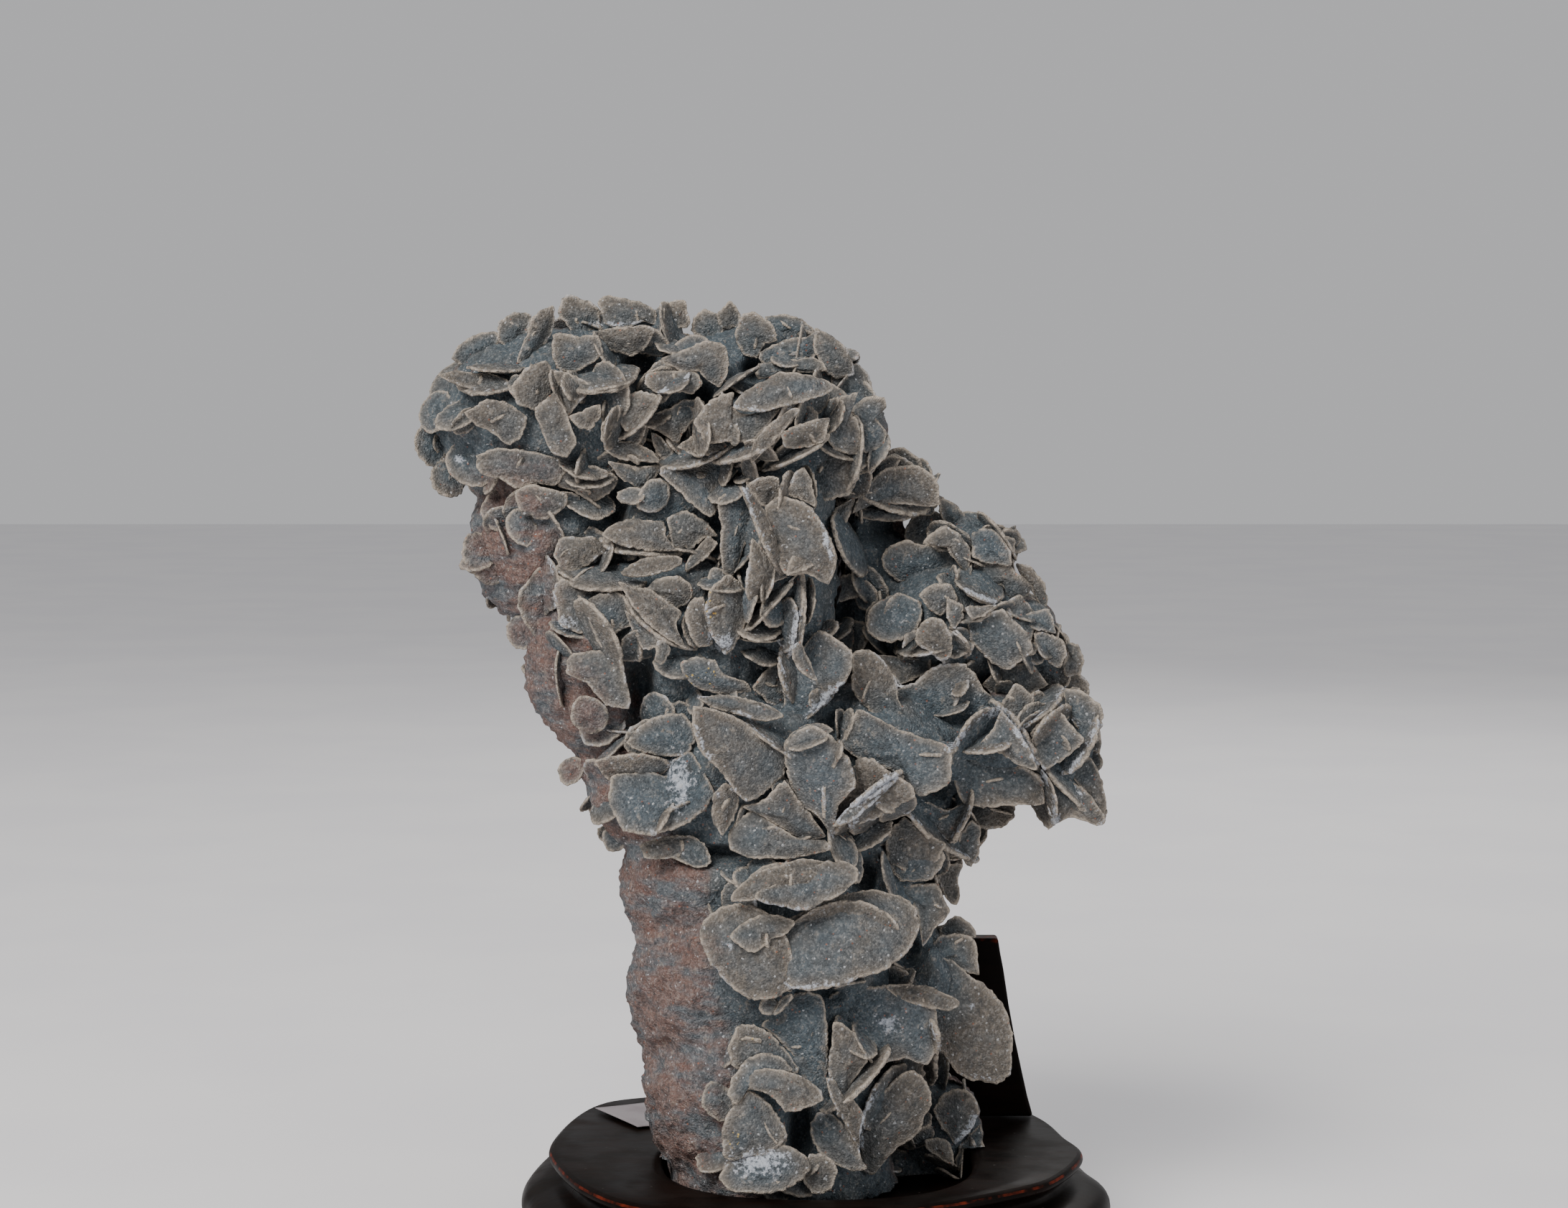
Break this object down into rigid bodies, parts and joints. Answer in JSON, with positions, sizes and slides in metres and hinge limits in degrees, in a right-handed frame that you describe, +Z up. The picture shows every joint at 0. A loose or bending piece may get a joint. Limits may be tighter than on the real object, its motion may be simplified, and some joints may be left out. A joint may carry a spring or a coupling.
{
  "type": "mineral specimen on stand",
  "caption": "Gypsum sand rose with overlapping lens-shaped crystals on a sandy column, seated in a low moulded dark wooden stand with a small board behind it.",
  "frame": {"origin": "middle of the stand's flat underside, below the middle of its top", "axes": "+Z up along the standing stone, -Y towards the front where the crystals face, +X to the right as seen from the front"},
  "size_m": [0.1499, 0.1164, 0.2062],
  "materials": {
    "sandy_gypsum": "rough sandy crystal with pale sugary rims",
    "dark_lacquered_wood": "dark red-brown lacquer, glossy with soft wear",
    "dark_lacquered_board": "dark red-brown lacquer",
    "white_paper": "matt white paper"
  },
  "bodies": {
    "root": {"sand_rose": "sandy_gypsum", "stand": "dark_lacquered_wood", "back_post": "dark_lacquered_board", "paper_label": "white_paper"}
  },
  "joints": []
}
